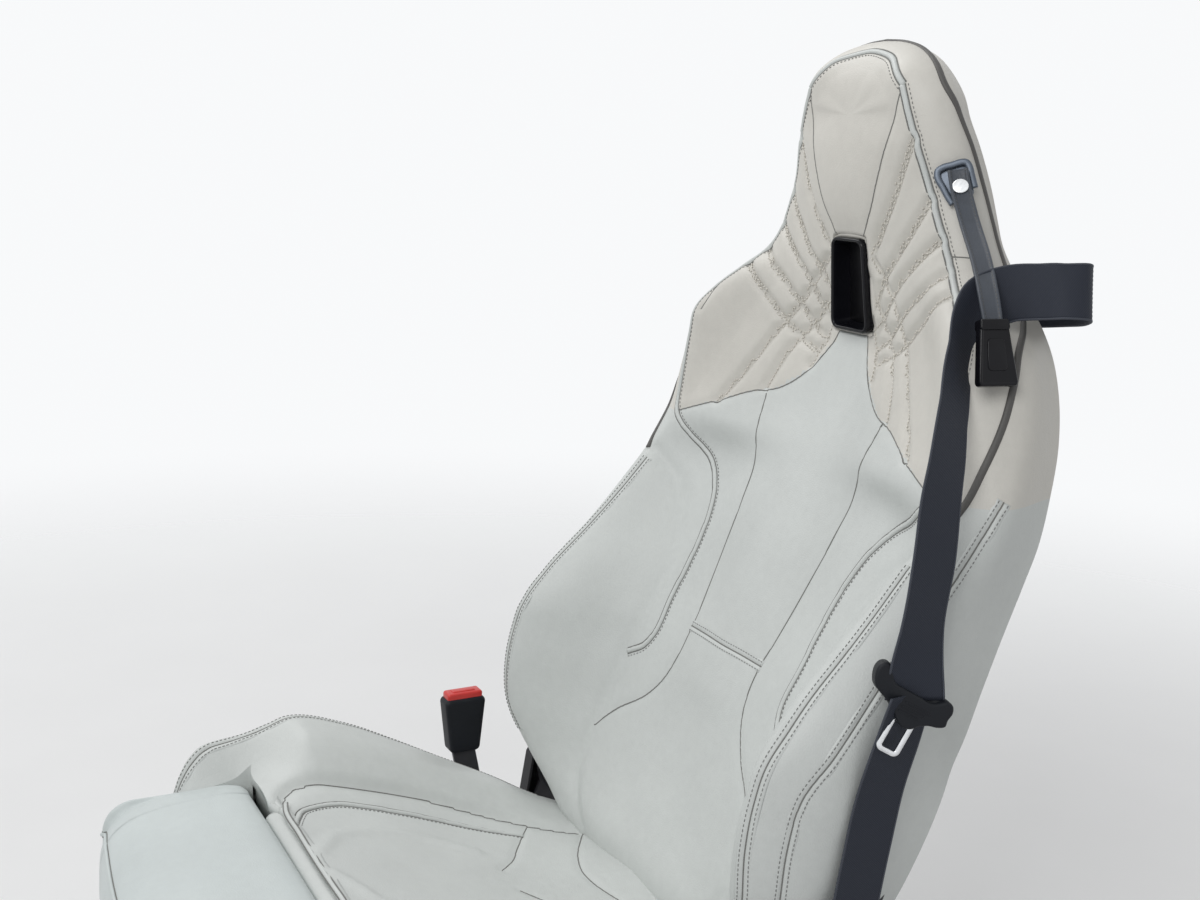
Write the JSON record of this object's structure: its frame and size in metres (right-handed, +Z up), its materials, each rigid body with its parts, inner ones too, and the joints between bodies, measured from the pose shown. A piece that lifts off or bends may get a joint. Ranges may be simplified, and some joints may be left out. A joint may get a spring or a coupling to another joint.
{
  "type": "sports car seat",
  "caption": "Powered sports car seat with integrated headrest, deep bolsters, sliding thigh support, belt guide, belt and buckle, on floor tracks.",
  "frame": {"origin": "centre of the four floor bolts, on the floor face of the feet", "axes": "+Z up, the seat faces -Y, +X outboard (the side of the belt)"},
  "size_m": [0.587, 0.7643, 1.022],
  "materials": {
    "steel": "satin black e-coat",
    "motor": "satin",
    "cover": "fine grained, matt",
    "leather": "pale ivory, fine grain, satin",
    "shell": "pale ivory, fine grain, satin",
    "gloss_black": "high gloss",
    "strap_leather": "smooth charcoal",
    "webbing": "ribbed polyester webbing",
    "latch_metal": "polished",
    "red": "satin"
  },
  "bodies": {
    "base": {"foot_front_inboard": "steel", "foot_front_outboard": "steel", "foot_rear_inboard": "steel", "foot_rear_outboard": "steel", "track_lower_inboard": "steel", "track_lower_outboard": "steel"},
    "carriage": {"track_upper_inboard": "steel", "track_upper_outboard": "steel", "track_motor": "motor", "drive_shaft_inboard": "steel", "drive_shaft_outboard": "steel"},
    "rear_lift": {"lift_links_rear": "steel"},
    "front_lift": {"lift_links_front": "steel"},
    "pan": {"pan_member_inboard": "steel", "pan_member_outboard": "steel", "recliner_inboard": "steel", "recliner_outboard": "steel", "cushion_pan": "steel", "pan_rear_tube": "steel", "lift_motor": "motor", "side_cover_inboard": "cover", "side_cover_outboard": "cover", "cushion_centre": "leather", "cushion_bolster_inboard": "leather", "cushion_bolster_outboard": "leather", "buckle_stalk": "steel", "buckle_body": "cover", "buckle_button": "red", "switch_seat": "cover", "switch_back": "cover"},
    "thigh": {"thigh_pad": "leather", "thigh_tray": "steel"},
    "back": {"back_frame": "steel", "back_shell": "shell", "back_centre": "leather", "back_bolster_inboard": "leather", "back_bolster_outboard": "leather", "shoulder_pad": "leather", "headrest_pad": "leather", "opening_bezel": "gloss_black", "guide_bracket": "cover", "guide_strap": "strap_leather", "guide_clip": "gloss_black", "belt_outlet": "cover", "belt_webbing_upper": "webbing", "belt_webbing_lower": "webbing", "belt_tongue": "cover", "belt_latch": "latch_metal", "belt_anchor": "steel"}
  },
  "joints": [
    {"name": "track_slide", "type": "slide", "parent": "base", "child": "carriage", "axis": [0, 1, 0], "range_m": [-0.12, 0.11]},
    {"name": "height_lift", "type": "hinge", "parent": "carriage", "child": "rear_lift", "pos_m": [0, 0.095, 0.088], "axis": [1, 0, 0], "range_deg": [-10, 30]},
    {"name": "pan_level", "type": "hinge", "parent": "rear_lift", "child": "pan", "pos_m": [0, 0.16428, 0.128], "axis": [1, 0, 0], "range_deg": [-30, 10]},
    {"name": "front_link", "type": "hinge", "parent": "carriage", "child": "front_lift", "pos_m": [0, -0.15, 0.088], "axis": [1, 0, 0], "range_deg": [-10, 30]},
    {"name": "back_recline", "type": "hinge", "parent": "pan", "child": "back", "pos_m": [0, 0.225, 0.25], "axis": [-1, 0, 0], "range_deg": [-15, 20]},
    {"name": "thigh_slide", "type": "slide", "parent": "pan", "child": "thigh", "axis": [0, -0.9848, 0.1736], "range_m": [-0.008, 0.035]}
  ],
  "couplings": [
    {"joint": "pan_level", "follows": "height_lift", "ratio": -1},
    {"joint": "front_link", "follows": "height_lift", "ratio": 1}
  ]
}
